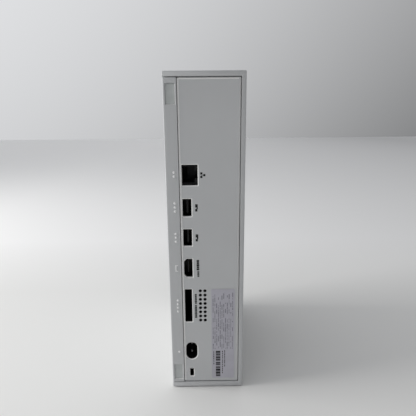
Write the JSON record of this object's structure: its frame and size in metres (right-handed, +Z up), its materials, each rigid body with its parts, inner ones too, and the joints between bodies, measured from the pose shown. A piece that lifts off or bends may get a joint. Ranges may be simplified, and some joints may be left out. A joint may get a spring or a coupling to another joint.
{
  "type": "game console",
  "caption": "Slim upright disc-less game console: white moulded case, round black fan grille on one side, rear panel of sockets, sprung front buttons and a spinning fan inside.",
  "frame": {"origin": "centre of the bounding box on the surface stood on, under the base pads", "axes": "+Z up the 275 mm height, +Y out of the rear face with the sockets, -Y out of the front with the power button, +X out of the side with the feet"},
  "size_m": [0.065, 0.151, 0.275],
  "materials": {
    "white_shell": "fine matte moulded texture",
    "white_panel": "fine matte moulded texture",
    "black_grille": "matte black",
    "socket_black": "satin black",
    "foot_rubber": "matte grey",
    "seal_film": "printed film, satin",
    "label_film": "printed film, satin",
    "steel": "stamped sheet",
    "board": "solder-masked laminate",
    "chip": "moulded package",
    "heat_sink": "extruded",
    "copper": "wound copper and bronze",
    "supply_shell": "moulded"
  },
  "bodies": {
    "console": {"outer_shell": "white_shell", "side_cover": "white_shell", "rear_panel": "white_panel", "fan_grille": "black_grille", "fan_frame": "black_grille", "ethernet_jack": "socket_black", "usb_port_upper": "socket_black", "usb_port_lower": "socket_black", "hdmi_port": "socket_black", "expansion_slot": "socket_black", "front_usb_port": "socket_black", "power_inlet": "socket_black", "supply_link": "socket_black", "side_foot_1": "foot_rubber", "side_foot_2": "foot_rubber", "side_foot_3": "foot_rubber", "side_foot_4": "foot_rubber", "base_pad_1": "foot_rubber", "base_pad_2": "foot_rubber", "base_pad_3": "foot_rubber", "base_pad_4": "foot_rubber", "seal_lower": "seal_film", "seal_upper": "seal_film", "rating_label": "label_film", "case_screw_lower": "steel", "case_screw_upper": "steel", "lock_plate": "steel", "inlet_pin_1": "steel", "inlet_pin_2": "steel", "chassis_plate": "steel", "board_screw_1": "steel", "board_screw_2": "steel", "board_screw_3": "steel", "board_screw_4": "steel", "radio_module": "steel", "sink_clamp": "steel", "mainboard": "board", "supply_board": "board", "storage_card": "board", "front_board": "board", "processor": "chip", "memory_chip_1": "chip", "memory_chip_2": "chip", "capacitor_1": "chip", "capacitor_2": "chip", "power_switch": "chip", "pair_switch": "chip", "heat_sink": "heat_sink", "transformer": "copper", "fan_stator": "copper", "fan_bearing": "copper", "supply_case": "supply_shell", "supply_lid": "supply_shell"},
    "fan_rotor": {"fan_rotor": "black_grille", "fan_shaft": "steel", "fan_magnet": "steel"},
    "power_button": {"power_button": "white_shell", "power_plunger": "socket_black"},
    "pair_button": {"pair_button": "white_shell", "pair_plunger": "socket_black"}
  },
  "joints": [
    {"name": "fan_spin", "type": "hinge", "parent": "console", "child": "fan_rotor", "pos_m": [-0.0184, 0, 0.2], "axis": [1, 0, 0], "continuous": true},
    {"name": "power_press", "type": "slide", "parent": "console", "child": "power_button", "axis": [0, 1, 0], "range_m": [0, 0.0009], "stiffness_N_per_m": 600},
    {"name": "pair_press", "type": "slide", "parent": "console", "child": "pair_button", "axis": [0, 1, 0], "range_m": [0, 0.0007], "stiffness_N_per_m": 600}
  ]
}
